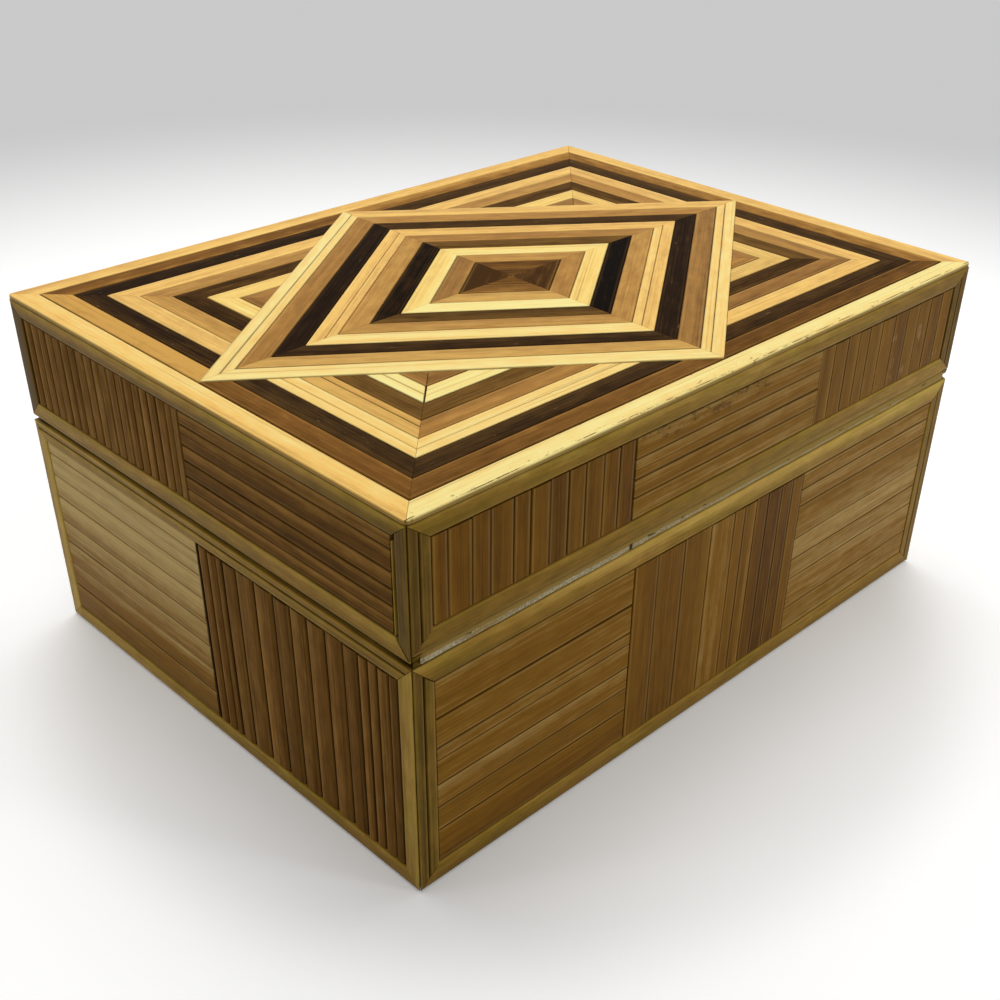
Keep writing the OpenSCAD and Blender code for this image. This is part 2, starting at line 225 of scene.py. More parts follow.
def shrink_outline(outline, rooms):
    """Moves each edge of a counter-clockwise outline inwards by its own room."""
    points = [Vector(p) for p in outline]
    made = []
    for i, point in enumerate(points):
        before = (point - points[i - 1]).normalized()
        after = (points[(i + 1) % len(points)] - point).normalized()
        n1, n2 = Vector((-before.y, before.x)), Vector((-after.y, after.x))
        turn = n1.x * n2.y - n1.y * n2.x
        a, b = rooms[i - 1], rooms[i]
        made.append(point + Vector((a * n2.y - b * n1.y, b * n1.x - a * n2.x)) / turn)
    return made


def cut_straw(outline, along, thick, section="frame", tone=0.0, soft_ends=(), rooms=None, lean=0.0):
    """One straw in the plane of its face, lying along a direction and cut to an outline.

    It keeps its room from each of the outline's edges. A soft end is a row of vertices so far from both
    ends, for a corner that is rounded later.
    """
    outline = shrink_outline(outline, rooms or [GAP / 2] * len(outline))
    along = Vector(along).normalized()
    side = Vector((-along.y, along.x))
    reach = [p.dot(along) for p in outline]
    spread = [p.dot(side) for p in outline]
    s0, s1, c0, c1 = min(reach), max(reach), min(spread), max(spread)
    length, width = s1 - s0, c1 - c0
    blank = straw_blank(section, max(2, min(MOST_LENGTHS, round(length / LENGTH_STEP))))
    straw = blank.copy()
    straw.data = blank.data.copy()
    straw.hide_render = False
    bpy.context.collection.objects.link(straw)
    straw.data.transform(Matrix.Diagonal((length, width, thick, 1)))
    mark_grain(straw.data, tone, lean)
    start = along * s0 + side * c0
    straw.data.transform(Matrix((
        (along.x, side.x, 0, start.x), (along.y, side.y, 0, start.y), (0, 0, 1, 0), (0, 0, 0, 1),
    )))
    cuts = []
    for a, b in zip(outline, outline[1:] + outline[:1]):
        edge = (b - a).normalized()
        out = Vector((edge.y, -edge.x))
        # The blank's own sides and ends need no cut
        if min(abs(out.dot(side)), abs(out.dot(along))) >= 1e-4:
            cuts.append((a.to_3d(), out.to_3d(), True))
    for inset in soft_ends:
        cuts += [((along * at).to_3d(), along.to_3d(), False) for at in (s0 + inset, s1 - inset)]
    if cuts:
        slice_piece(straw, cuts, 0.0005)
    return straw


def nudge(straw, amount=0.03, turn=0.08):
    """Lays a straw a little off, as a hand does."""
    co = [v.co for v in straw.data.vertices]
    middle = sum(co, Vector()) / len(co)
    off = Vector((about(amount), about(amount), 0))
    spin = Matrix.Rotation(math.radians(about(turn)), 4, "Z")
    straw.data.transform(Matrix.Translation(middle + off) @ spin @ Matrix.Translation(-middle))
    return straw


def straw_frame(width, stile, span, rails, parts, tones, post_tones, slim=0.0, loose=False, top_parts=(0, 1)):
    """A picture frame of mitred straws, its posts and its top rail split at the given parts.

    The right post may be slimmer inside, and the left one's inner straw may have come loose.
    """
    x0, z0, z3 = -width / 2, span[0], span[1]
    x1, z1, z2 = x0 + stile, z0 + rails[0], z3 - rails[1]
    outline = [(x0, z0), (-x0, z0), (-x1, z1), (x1, z1)]
    rooms = [GAP / 2, MITRE_ROOM] * 2
    # Each rail's lean, here and for the top rail below, is painted light along its upper edge and painted
    # shade along its lower one.
    straws = [cut_straw(outline, (1, 0), FRAME_T, tone=tones[0], rooms=rooms, lean=0.12)]
    for p, q in zip(top_parts, top_parts[1:]):
        (xa, za), (xb, zb) = ((x1 + (x0 - x1) * part, z2 + (z3 - z2) * part) for part in (p, q))
        below, above = (RAIL_CRACK / 2 if 0 < part < 1 else GAP / 2 for part in (p, q))
        outline = [(xa, za), (-xa, za), (-xb, zb), (xb, zb)]
        rooms = [below, MITRE_ROOM, above, MITRE_ROOM]
        straws.append(cut_straw(outline, (1, 0), FRAME_T, tone=tones[1], rooms=rooms, lean=0.3 * (q - p)))
    for hand, inward_tones in zip((1, -1), post_tones):
        for post_tone, p, q in zip(inward_tones, parts, parts[1:]):
            xa, xb = x0 + stile * p, x0 + stile * q
            outline = [
                (xa, z0 + rails[0] * p), (xb, z0 + rails[0] * q),
                (xb, z3 - rails[1] * q), (xa, z3 - rails[1] * p),
            ]
            free = loose and hand > 0 and p > 0
            ends = LOOSE_GAP if free else MITRE_ROOM
            shrunk = slim if hand < 0 and q == 1 else 0
            foot = ends + (FOOT_GAP if shrunk else 0)
            rooms = [ends, GAP / 2 + shrunk, foot, LOOSE_GAP if free else GAP / 2]
            outline = [(hand * x, y) for x, y in outline][::hand]
            straws.append(cut_straw(outline, (0, 1), FRAME_T, tone=post_tone + about(0.1), rooms=rooms))
    return straws


def mitre_corners(piece, side):
    """Cuts the ends of a side's frame at 45 degrees, where it meets the frames of the next sides."""
    turn = Matrix.Rotation(math.radians(side), 3, "Z")
    out, along = turn @ Vector((0, -1, 0)), turn @ Vector((1, 0, 0))
    cuts = []
    for hand in (1, -1):
        away, towards = (hand * along - out).normalized(), hand * along + out
        corner = Vector((math.copysign(CASE_L / 2, towards.x), math.copysign(CASE_W / 2, towards.y), 0))
        cuts.append(((corner - away * CORNER_GAP) * MM, away, True))
    slice_piece(piece, cuts)


def ease_hinge_corner(piece):
    """Takes the back corner off an end frame at the seam, so that the lid swings back past the base."""
    lean = Vector((0, 2, -1 if piece.name.startswith("lid") else 1)).normalized()
    slice_piece(piece, [((0, HINGE_Y * MM, SEAM_Z * MM), lean, True)])


# The inner and the outer edge of the thread beside a shrunken post, and what it keeps from the rails
SLIVER, SLIVER_FOOT, SLIVER_HEAD = (0.24, 0.44), 0.3, 0.6


def loose_sliver(x, y0, y1):
    """A thread of straw left standing in the open joint beside a post."""
    outline = oblong(x + SLIVER[0], x + SLIVER[1], y0 + SLIVER_FOOT, y1 - SLIVER_HEAD)
    sliver = cut_straw(outline, (0, 1), FRAME_T, "flat", 0.45, rooms=[GAP / 2, MITRE_ROOM] * 2)
    fill_mark(sliver, "grime", 0.0)
    return sliver


def glue_line(x0, x1, y0, y1, height, tone):
    """What fills the joint between two straws, a little lower than they are."""
    clear_selection()
    bpy.ops.mesh.primitive_cube_add(size=1, calc_uvs=False)
    glue = bpy.context.object
    across_x = x1 - x0 < y1 - y0
    spread = (y1 - y0, x1 - x0) if across_x else (x1 - x0, y1 - y0)
    glue.data.transform(Matrix.Diagonal((*spread, height, 1)))
    mark_grain(glue.data, tone)
    if across_x:
        glue.data.transform(Matrix.Rotation(math.radians(90), 4, "Z"))
    glue.data.transform(Matrix.Translation(((x0 + x1) / 2, (y0 + y1) / 2, height / 2)))
    return glue


def wide_filling(x0, x1, y0, y1, height, tone, grime):
    """Glue or dirt in a wide joint, as grimy all over as a straw is at its edges."""
    filling = glue_line(x0, x1, y0, y1, height, tone)
    fill_mark(filling, "across", filling.data.attributes["half"].data[0].value)
    fill_mark(filling, "grime", grime)
    return filling


# How far a plug reaches in past the case's end, what it keeps from the box's end, how steeply it slopes, and
# what it keeps from the front of the frame
PLUG_REACH, PLUG_END, PLUG_SLOPE, PLUG_ROOM = 1.1, 0.1, 0.5, 0.1


def seam_plug(hand, y0, y1):
    """Hardened glue in the end of the seam, beside the hinge cloth."""
    x0, x1 = sorted((hand * (CASE_L / 2 - PLUG_REACH), hand * (HALF_L - PLUG_END)))
    plug = wide_filling(x0, x1, y0, y1, FOLD_OUT - 0.06, -0.2, 0.6)
    # It slopes out from the seam, so that the lid's swings back past the base's
    for v in plug.data.vertices:
        if v.co.z > 0:
            v.co.z = min(FRAME_T - PLUG_ROOM, v.co.z + PLUG_SLOPE * abs(v.co.y - SEAM_Z))
    return plug


def packed_dirt(x0, x1, y0, y1):
    """Dirt in the open joint between two panels."""
    return wide_filling(x0 + 0.03, x1 - 0.03, y0 + GLUE_ROOM, y1 - GLUE_ROOM, 0.85 * STRIP_T, -1.6, 1.0)


# How full of glue a joint is that is filled to the brim
BRIM = 0.98


def straw_panel(
    x0, x1, y0, y1, widths, upright, section, tones, cracks=(), lean=0.0, fill=0.86, deep=None, short=(0.0,),
):
    """A panel of straws side by side, sharing its width or height as the list says.

    Glue fills its joints, those in the deep list to the given share of the straws' thickness and the rest to
    the brim; without a list all are deep. Cracks stay open. Upright straws end short of the top by turns.
    """
    room = (x1 - x0 if upright else y1 - y0) / sum(widths)
    joints = [chance.uniform(*PANEL_JOINT) for _ in widths] + [GAP / 2]
    for joint in cracks:
        joints[joint] = CRACK / 2
    straws, at, along = [], 0.0, (0, 1) if upright else (1, 0)
    for i, width in enumerate(widths):
        a, b = at * room, (at + width) * room
        at += width
        if upright:
            outline = oblong(x0 + a, x0 + b, y0, y1 - short[i % len(short)])
            rooms = [GAP / 2, joints[i + 1], GAP / 2, joints[i]]
        else:
            outline = oblong(x0, x1, y1 - b, y1 - a)
            rooms = [joints[i + 1], GAP / 2, joints[i], GAP / 2]
        tone = tones[i % len(tones)] + about(0.09)
        thick = STRIP_T * chance.uniform(0.93, 1)
        straws.append(nudge(cut_straw(outline, along, thick, section, tone, rooms=rooms, lean=lean)))
        if i + 1 < len(widths) and i + 1 not in cracks:
            half, filled = joints[i + 1], fill if deep is None or i + 1 in deep else BRIM
            if upright:
                joint = x0 + b - half, x0 + b + half, y0 + GLUE_ROOM, y1 - GLUE_ROOM - max(short)
            else:
                joint = x0 + GLUE_ROOM, x1 - GLUE_ROOM, y1 - b - half, y1 - b + half
            # The higher the glue stands, the paler it is
            straws.append(glue_line(*joint, STRIP_T * filled, 2.5 * filled - 2.9))
    return straws


uneven = bpy.data.textures.new("uneven", "CLOUDS")
uneven.noise_scale = 3.5

# The materials of straw, by kind
finishes = {}


def lay(node, body, kind, straws, place, unevenness=0.05, slot=None):
    """Joins the straws of one node into a piece that rides on its body in the node's place.

    The kind of straw gives the finish. A slot name is made from the slot argument or the kind, but not used.
    """
    clear_selection()
    for straw in straws:
        straw.select_set(True)
    bpy.context.view_layer.objects.active = straws[0]
    bpy.ops.object.join()
    piece = straws[0]
    piece.name = node + "_straws"
    piece.data.name = piece.name
    bpy.ops.object.modifier_add(type="DISPLACE")
    waver = piece.modifiers[-1]
    waver.texture, waver.texture_coords = uneven, "LOCAL"
    waver.strength, waver.mid_level = unevenness, 1.0
    bpy.ops.object.modifier_apply(modifier=waver.name)
    bpy.ops.object.shade_smooth_by_angle(angle=math.radians(38))
    piece.data.transform(place)
    piece.data.materials.clear()
    piece.data.materials.append(finishes[kind])
    slot = "straw_" + (slot or kind)
    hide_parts(node)
    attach(piece, body)
    return piece


# Colours are written as 0 to 255, as a picture shows them
def colour(r, g, b):
    """A shown colour as the linear light that a shader takes."""
    def linear(c):
        c /= 255
        return c / 12.92 if c <= 0.04045 else ((c + 0.055) / 1.055) ** 2.4
    return (linear(r), linear(g), linear(b), 1)


class Nodes:
    """A node tree under work: adds nodes and joins them up."""

    def __init__(self, tree):
        self.tree = tree

    def feed(self, socket, value):
        """Gives a socket its value, or joins another node's output to it."""
        if isinstance(value, (int, float, tuple)):
            socket.default_value = value
        else:
            self.tree.links.new(value, socket)

    def add(self, kind, inputs=(), **values):
        """A new node, with its settings and with what goes into it."""
        node = self.tree.nodes.new(kind)
        for key, value in values.items():
            setattr(node, key, value)
        for key, value in dict(inputs).items():
            self.feed(node.inputs[key], value)
        return node

    def sums(self, operation, a, b=0.5, clamp=False):
        return self.add("ShaderNodeMath", {0: a, 1: b}, operation=operation, use_clamp=clamp).outputs[0]

    def plus(self, a, b):
        return self.sums("ADD", a, b)

    def times(self, a, b, clamp=False):
        return self.sums("MULTIPLY", a, b, clamp)

    def most(self, a, b):
        return self.sums("MAXIMUM", a, b)

    def size(self, value):
        return self.sums("ABSOLUTE", value)

    def rest(self, value):
        """What is left of one."""
        return self.sums("SUBTRACT", 1.0, value)

    def over(self, value, limit):
        """One where a value is over its limit, or else nothing."""
        return self.sums("GREATER_THAN", value, limit)

    def sway(self, field, reach):
        """A noise as a swing to both sides of nothing."""
        return self.times(self.sums("SUBTRACT", field, 0.5), reach)

    def uv(self, name):
        return self.add("ShaderNodeUVMap", uv_map=name).outputs[0]

    def place(self):
        return self.add("ShaderNodeTexCoord").outputs["Object"]

    def axes(self, where):
        return self.add("ShaderNodeSeparateXYZ", {0: where}).outputs

    def noise(self, where, stretch, detail=2.0, rough=0.5, shift=(0, 0, 0)):
        laid = self.add("ShaderNodeMapping", {"Scale": stretch, "Location": shift, "Vector": where})
        inputs = {"Scale": 1.0, "Detail": detail, "Roughness": rough, "Vector": laid.outputs[0]}
        return self.add("ShaderNodeTexNoise", inputs).outputs["Fac"]

    def ramp(self, value, stops):
        node = self.add("ShaderNodeValToRGB", {0: value})
        bar = node.color_ramp
        bar.elements[0].position, bar.elements[0].color = stops[0]
        bar.elements[1].position, bar.elements[1].color = stops[-1]
        for at, tint in stops[1:-1]:
            bar.elements.new(at).color = tint
        return node.outputs[0]

    def blend(self, share, a, b, kind="MIX"):
        return self.add("ShaderNodeMix", {0: share, 6: a, 7: b}, data_type="RGBA", blend_type=kind).outputs[2]

    def band(self, value, low, high):
        """Nothing up to low, rising smoothly to one at high."""
        inputs = {"Value": value, "From Min": low, "From Max": high}
        return self.add("ShaderNodeMapRange", inputs, interpolation_type="SMOOTHSTEP").outputs["Result"]

    def window(self, value, low, high, soft):
        """One where a value lies between two limits, fading over a soft edge."""
        return self.times(self.band(value, low - soft, low), self.rest(self.band(value, high, high + soft)))

    def spots(self, where, stretch, low, high, detail=2.0, rough=0.5, shift=(0, 0, 0)):
        """One where a noise passes high, and nothing up to low."""
        return self.band(self.noise(where, stretch, detail, rough, shift), low, high)


class Finish(Nodes):
    """A material under work, round its shader."""

    def __init__(self, name, rough, shine=0.5):
        self.material = bpy.data.materials.new(name)
        self.material.use_nodes = True
        super().__init__(self.material.node_tree)
        self.shader = self.tree.nodes["Principled BSDF"]
        self.give("Roughness", rough)
        self.give("Specular IOR Level", shine)

    def give(self, key, value):
        self.feed(self.shader.inputs[key], value)

    def bump(self, height, depth):
        node = self.add("ShaderNodeBump", {"Strength": 1.0, "Distance": depth, "Height": height})
        self.give("Normal", node.outputs[0])


def straw_finish(
    name, dark, middle, light, rough=0.44, shine=0.2, edge=0.6, streaks=0.6, fine=0.9, mottled=0.6, dirt=0.3,
    marks=None,
):
    """Split straw: long fibres, streaks of tone, each straw a little different, grimy along its edges."""
    f = Finish("straw_" + name, rough, shine)
    f.give("Specular Tint", colour(255, 226, 170))
    where = f.uv("grain")
    tone, hue, across, half, grime, lean = (
        f.add("ShaderNodeAttribute", attribute_name=n).outputs["Fac"]
        for n in ("tone", "hue", "across", "half", "grime", "lean")
    )
    fibres = f.noise(where, (45, 2600, 1), 3, 0.6)
    streak = f.noise(where, (9, 430, 1), 2, shift=(3, 7, 1))
    mottle = f.noise(where, (170, 520, 1), 3, 0.6, (11, 2, 4))
    height = f.plus(f.times(tone, 0.5), 0.5)
    # Painted light and shade across the straw: its tone rises towards one edge by its lean
    height = f.plus(height, f.times(lean, f.sums("DIVIDE", across, half)))
    for field, share in ((streak, streaks), (fibres, fine), (mottle, mottled)):
        height = f.plus(height, f.sway(field, share))
    shown = f.ramp(height, ((0.0, colour(*dark)), (0.5, colour(*middle)), (1.0, colour(*light))))
    warm = f.times(f.plus(hue, 1.0), 0.12)
    shown = f.blend(warm, shown, (1.0, 0.8, 0.5, 1), "MULTIPLY")
    threads = f.spots(where, (16, 1500, 1), 0.6, 0.74, 1, shift=(5, 1, 9))
    shown = f.blend(f.times(threads, 0.6 * fine), shown, (0.42, 0.34, 0.26, 1), "MULTIPLY")
    # Shoulders are paler, partly from wear and partly as a painted highlight, and the very edge is dirty
    inward = f.sums("SUBTRACT", half, f.size(across))
    broken = f.noise(where, (60, 60, 1), 3, 0.6, (8, 3, 2))
    wear_and_highlight = f.sums("SUBTRACT", f.band(inward, 0.12, 0.3), f.band(inward, 0.3, 0.75))
    shown = f.blend(f.times(wear_and_highlight, f.times(broken, 0.3)), shown, colour(*light))
    rim = f.rest(f.band(inward, 0.0, dirt))
    rim = f.times(f.times(rim, grime), f.times(broken, 2.0), clamp=True)
    shown = f.blend(f.times(rim, edge), shown, colour(34, 20, 8))
    f.give("Base Color", marks(f, shown) if marks else shown)
    f.bump(f.plus(fibres, f.times(streak, 1.5)), 0.00004)
    finishes[name] = f.material


def border_wear(f, shown):
    """A broken brown line along the border's back edge, dirt inside it, and browned sides."""
    where = f.place()
    x, y, z = f.axes(where)
    wander = f.sway(f.noise(where, (40, 1, 1), 3), 0.0006)
    y = f.plus(y, wander)
    edge, top = HALF_W * MM, BOX_H * MM
    line = f.window(y, edge - 0.00052, edge - 0.0004, 0.00008)
    broken = f.spots(where, (150, 1, 1), 0.44, 0.58, 4, 0.7)
    shown = f.blend(f.times(line, broken), shown, colour(112, 74, 26))
    near = f.plus(f.window(y, edge - 0.0012, edge, 0.0008), f.window(y, edge - 0.0046, edge - 0.0041, 0.0005))
    specks = f.spots(where, (500, 1100, 1), 0.6, 0.7, 3, 0.7)
    shown = f.blend(f.times(specks, f.times(near, 0.7)), shown, colour(112, 72, 26))
    side = f.rest(f.band(f.plus(z, f.times(wander, 0.4)), top - 0.0004, top - 0.00018))
    return f.blend(f.times(side, 0.85), shown, colour(140, 108, 44))


# Blemishes at the back: where they lie along the box and in height, in metres, the stretch of their noise,
# where it begins to show, their tint, and how strong they are
BLEMISHES = (
    ((-0.008, 0.024), (0.0666, 0.0694), (260, 1, 460), 0.54, colour(70, 44, 14), 0.55),
    ((-0.008, 0.024), (0.0672, 0.0695), (760, 1, 1300), 0.58, colour(34, 20, 8), 0.7),
    ((-0.068, -0.044), (0.055, 0.063), (420, 1, 160), 0.57, colour(190, 168, 124), 0.22),
)


def back_blemishes(f, shown):
    """Dark specks under the lid's top edge and pale scuffs near its corner, at the back of the box."""
    where = f.place()
    x, y, z = f.axes(where)
    behind = f.over(y, 0.0565)
    for (x0, x1), (z0, z1), stretch, least, tint, share in BLEMISHES:
        patch = f.times(f.window(x, x0, x1, 0.004), f.window(z, z0, z1, 0.0016))
        spots = f.spots(where, stretch, least, least + 0.05, 4, 0.7)
        shown = f.blend(f.times(f.times(spots, patch), f.times(behind, share)), shown, tint)
    return shown


def green_patches(f, shown):
    """Straw that was cut green in places."""
    patches = f.spots(f.uv("grain"), (55, 160, 1), 0.45, 0.65, 3, 0.6, (4, 2, 0))
    return f.blend(f.times(patches, 0.6), shown, (0.86, 1.0, 0.62, 1), "MULTIPLY")


def pale_scuffs(f, shown):
    """A few short scratches through a dark stain."""
    scratches = f.spots(f.uv("grain"), (320, 1900, 1), 0.74, 0.78, 1, shift=(6, 2, 0))
    return f.blend(f.times(scratches, 0.5), shown, colour(150, 130, 100))


straw_finish(
    "olive", (88, 64, 16), (144, 110, 40), (196, 162, 80), shine=0.08, streaks=0.4, fine=0.55,
    marks=green_patches,
)
straw_finish(
    "honey", (80, 48, 8), (130, 92, 24), (190, 164, 106), rough=0.5, shine=0.06, edge=0.4, streaks=0.4,
    fine=0.6, mottled=0.35, marks=back_blemishes,
)
for name, dirt in (("umber", 0.3), ("ribbed", 0.5)):
    straw_finish(name, (52, 30, 6), (106, 73, 26), (158, 118, 60), 0.55, 0.03, fine=0.7, dirt=dirt)
straw_finish(
    "pale", (200, 146, 72), (252, 206, 112), (255, 240, 160), shine=0.18, edge=0.45, fine=0.6,
    marks=border_wear,
)
straw_finish("cream", (210, 164, 84), (255, 216, 118), (255, 242, 160), edge=0.5, shine=0.18)
straw_finish(
    "tan", (110, 72, 28), (176, 128, 62), (228, 182, 98), edge=0.5, shine=0.05, streaks=0.4, fine=0.5,
)
straw_finish(
    "chestnut", (68, 42, 12), (134, 92, 42), (216, 166, 86), edge=0.5, shine=0.01, streaks=0.3, fine=0.45,
)
straw_finish(
    "black", (14, 9, 7), (44, 30, 18), (92, 66, 34), edge=0.4, shine=0.005, streaks=0.25, marks=pale_scuffs,
)
straw_finish("dark", (18, 13, 9), (70, 47, 22), (128, 94, 46), edge=0.4, shine=0.005, streaks=0.4)

# The long sides: the heights that the straw covers, the widths of the frame's bottom and top straws, the
# tones along them, the tones of the left and the right post from the outside in, the edges of the middle
# panel, and whether the straws beside it stand upright. Then each panel's widths and tones, left to right or
# top to bottom, its joints that stand open, and those that the glue doesn't fill to the brim
# The rails' tones along them are partly painted shade, mostly lower towards the +X end on both sides.
LONG_SIDES = {
    "base": (
        BASE_SPAN, (4.2, 4.5),
        ((-0.32, -0.12, -0.2, -0.15, -0.2), (-0.2, -0.1, 0.35, 0.38, 0.33, 0.38, 0.35, 0.35)),
        ((-0.75, -0.5), (-0.6, -0.6)), (-25, 25), False,
        (
            ([7.6, 6.0, 2.5, 5.2, 4.8, 5.1, 7.0], [-0.05, 0.0, -0.05, 0.0, 0.0, -0.1, -0.2], (1, 2), (3, 5)),
            (
                [6.3, 7.4, 7.5, 6.9, 3.2, 3.5, 3.8, 4.2, 3.7, 3.4],
                [-0.4, -0.55, -0.28, 0.1, -0.3, -0.2, -0.75, -0.8, -0.8, -0.3], (), (1, 2, 4, 6),
            ),
            ([3.8, 3.8, 7.6, 5.0, 4.7, 7.4, 5.8], [0.1, 0.1, 0.0, 0.42, 0.35, 0.15, 0.1], (), (2, 3, 5, 6)),
        ),
    ),
    "lid": (
        LID_SPAN, (3.9, 3.6), ((-0.4, -0.15, 0.1), (-0.27, -0.1, 0.0, 0.07, 0.2, -0.05, -0.22, -0.42)),
        ((-1.15, -0.7), (-1.0, -1.0)), (-27, 25), True,
        (
            (
                [3.2, 4.8, 3.7, 4.9, 3.6, 4.1, 4.2, 3.9, 4.2, 3.8, 3.7], [-0.55, -0.45, -0.6, -0.4],
                (0, 5, 7, 11), (1, 2, 3),
            ),
            ([4.1, 4.0, 3.6, 4.2], [0.0, 0.05, -0.05, 0.0], (2,), ()),
            (
                [4.4, 4.4, 3.9, 3.5, 4.4, 4.6, 4.7, 4.4, 4.3, 4.2, 4.1], [-0.4, -0.25, -0.35],
                (), (1, 3, 5),
            ),
        ),
    ),
}

# The ends begin in the same way. Then where the top straw is split, how far the right post has shrunk from
# its panel, and what the left panel keeps from the right one. For each panel: its slot, its finish and its
# section, whether its straws stand upright, their widths and tones, the open joints, how far the tone leans
# to one edge, painted light on that edge and painted shade on the other, and how full the joints are
# The rails' tones along them are partly painted shade, mostly lower towards the +Y end on both ends.
ENDS = {
    "base": (
        BASE_SPAN, (3.4, 3.8), ((0.4, 0.1, -0.2), (0.1, 0.0, -0.3)), ((0.4,), (0.3,)),
        (0, 0.58, 1), 0.0, END_SPLIT,
        (
            (
                "honey", "honey", "clapboard", False, [2.5, 4.8, 5.0, 5.5, 5.0, 5.4, 5.2, 6.0],
                # Its tones fall from the top straw down as painted light; turned round on the left end, they
                # rise.
                [0.9, 0.85, 0.8, 0.75, 0.4, 0.3, 0.05, -0.1], (), 0.15, 0.66,
            ),
            (
                "umber", "ribbed", "rib", True,
                [2.6, 2.6, 1.8, 3.8, 5.1, 5.2, 4.5, 4.4, 4.6, 4.4, 3.7, 2.3, 2.3, 2.6, 2.2],
                [0.1, 0.2, -0.05, 0.05], (), 0.22, 0.6,
            ),
        ),
    ),
    "lid": (
        LID_SPAN, (3.7, 3.1), ((0.0, -0.1, 0.0), (-0.2, 0.0, -0.3)), ((-1.4,), (-0.9,)),
        (0, 1), 0.7, SPLIT,
        (
            (
                "umber", "ribbed", "reed", True,
                [
                    2.5, 2.7, 2.7, 2.6, 2.7, 2.8, 2.5, 2.9, 2.9, 2.4,
                    2.7, 2.7, 2.8, 2.6, 2.5, 2.6, 2.7, 2.8, 1.9, 2.2,
                ],
                [0.25, 0.35, 0.15, 0.3], (), 0.1, 0.3,
            ),
            (
                "umber", "umber", "clapboard", False, [2.7, 4.1, 3.1, 3.2, 2.6, 2.6],
                [0.25, -0.05, 0.15, -0.1, -0.05, 0.05], (2, 4), 0.2, 0.6,
            ),
        ),
    ),
}

# How far the upright straws of a long side, and the ribs, end short of the straw above them, by turns
LONG_SHORT, RIBS_SHORT = (0.06, 0.14, 0.0, 0.1), (0.3, 0.45, 0.25, 0.4, 0.2)


def turned_round(widths, tones, *marks):
    """A panel's lists on the side that is turned round, with its joints counted from the other end."""
    return [widths[::-1], tones[::-1], *([len(widths) - joint for joint in joints] for joints in marks)]


def lay_long_sides():
    """The frames and panels at the back and the front, which is the back turned round."""
    far = LONG_FACE_W / 2 - STILE_W
    for side, name, step in ((BACK, "back", 1), (FRONT, "front", -1)):
        place = side_face(side)
        for body, (span, rails, rail_tones, post_tones, (left, right), upright, lists) in LONG_SIDES.items():
            if (body, side) == ("lid", BACK):
                span = LID_BACK_SPAN
            y0, y1 = span[0] + rails[0], span[1] - rails[1]
            straws = straw_frame(
                BOX_L - 0.1, STILE_W + FRAME_T - 0.05, span, rails, (0, 0.5, 1),
                [tones[::step] for tones in rail_tones], post_tones, loose=body == "base",
            )
            if side == BACK:
                seam = (SEAM_Z + 0.04, span[0] + 0.05) if body == "lid" else (span[1] - 0.05, SEAM_Z - 0.04)
                straws += [seam_plug(hand, *seam) for hand in (1, -1)]
            mitre_corners(lay(f"{body}_{name}_frame", body, "olive", straws, place), side)
            if step < 0:
                lists = [turned_round(*panel) for panel in lists[::-1]]
            places = ((-far, left - SPLIT, upright), (left, right, not upright), (right, far, upright))
            panels = [
                straw_panel(x0, x1, y0, y1, widths, up, "flat", tones, cracks, deep=deep, short=LONG_SHORT)
                for (x0, x1, up), (widths, tones, cracks, deep) in zip(places, lists)
            ]
            lay(f"{body}_{name}_outer_panels", body, "honey", panels[0] + panels[2], place)
            lay(f"{body}_{name}_middle_panel", body, "honey", panels[1], place)


def lay_ends():
    """The frames and panels on both ends. On the left one the straws of each panel are turned round."""
    far = END_FACE_W / 2 - STILE_W
    for side, name, order, step in (
        (RIGHT, "right", ("front", "back"), 1), (LEFT, "left", ("back", "front"), -1),
    ):
        place = side_face(side)
        for body, (span, rails, rail_tones, post_tones, top_parts, slim, split, panels) in ENDS.items():
            y0, y1 = span[0] + rails[0], span[1] - rails[1]
            straws = straw_frame(
                END_FACE_W, STILE_W, span, rails, (0, 1), [tones[::step] for tones in rail_tones], post_tones,
                slim, top_parts=top_parts,
            )
            if slim:
                straws.append(loose_sliver(far, y0, y1))
            piece = lay(f"{body}_{name}_frame", body, "olive", straws, place)
            mitre_corners(piece, side)
            ease_hinge_corner(piece)
            places = ((-far, END_EDGE - split), (END_EDGE, far - SPLIT))
            for (x0, x1), at, panel in zip(places, order, panels):
                slot, kind, section, upright, widths, tones, cracks, lean, fill = panel
                if step < 0:
                    widths, tones, cracks = turned_round(widths, tones, cracks)
                ribs = section == "rib"
                straws = straw_panel(
                    x0, x1, y0, y1, widths, upright, section, tones, cracks, lean, fill,
                    short=RIBS_SHORT if ribs else (0.0,),
                )
                if ribs:
                    straws.append(packed_dirt(END_EDGE - split, END_EDGE, y0, y1))
                lay(f"{body}_{name}_{at}_panel", body, kind, straws, place, slot=slot)


CORNERS = ((1, 1), (1, -1), (-1, -1), (-1, 1))

# The bands inside the border: straw, tones of the two legs in each corner, and where a pieced one is split
# The legs' tones differ from corner to corner partly as painted sheen, which changes with the way the straws
# run.
RECT_BANDS = (
    ("chestnut", (-0.1, -0.1, 0.0, 0.9, 0.4, 0.2, -0.45, 0.25), (0, 1)),
    ("black", (0.4, 0.4, 0.2, 0.15, 0.5, 0.5, 0.4, 0.5), (0, 1)),
    ("pale", (0.35, 0.3, -0.3, -0.35, -0.4, -0.4, -0.3, -0.2), (0, 0.46, 1)),
    ("tan", (-0.2, 0.85, 0.1, 0.35, 0.1, -0.1, -0.5, -0.15), (0, 0.64, 1)),
    ("dark", (0.7, 0.8, 0.0, -0.1, 0.4, 0.3, 0.0, 0.55), (0, 1)),
    ("cream", (0.6, 0.65, 0.0, -0.05, -0.3, -0.4, -0.8, -0.5), (0, 0.5, 1)),
)

# The legs of these bands, by corner, that are pieced together from two straws
PIECED = (("pale", 0, 0), ("pale", 0, 1), ("tan", 0, 1), ("cream", 0, 1))
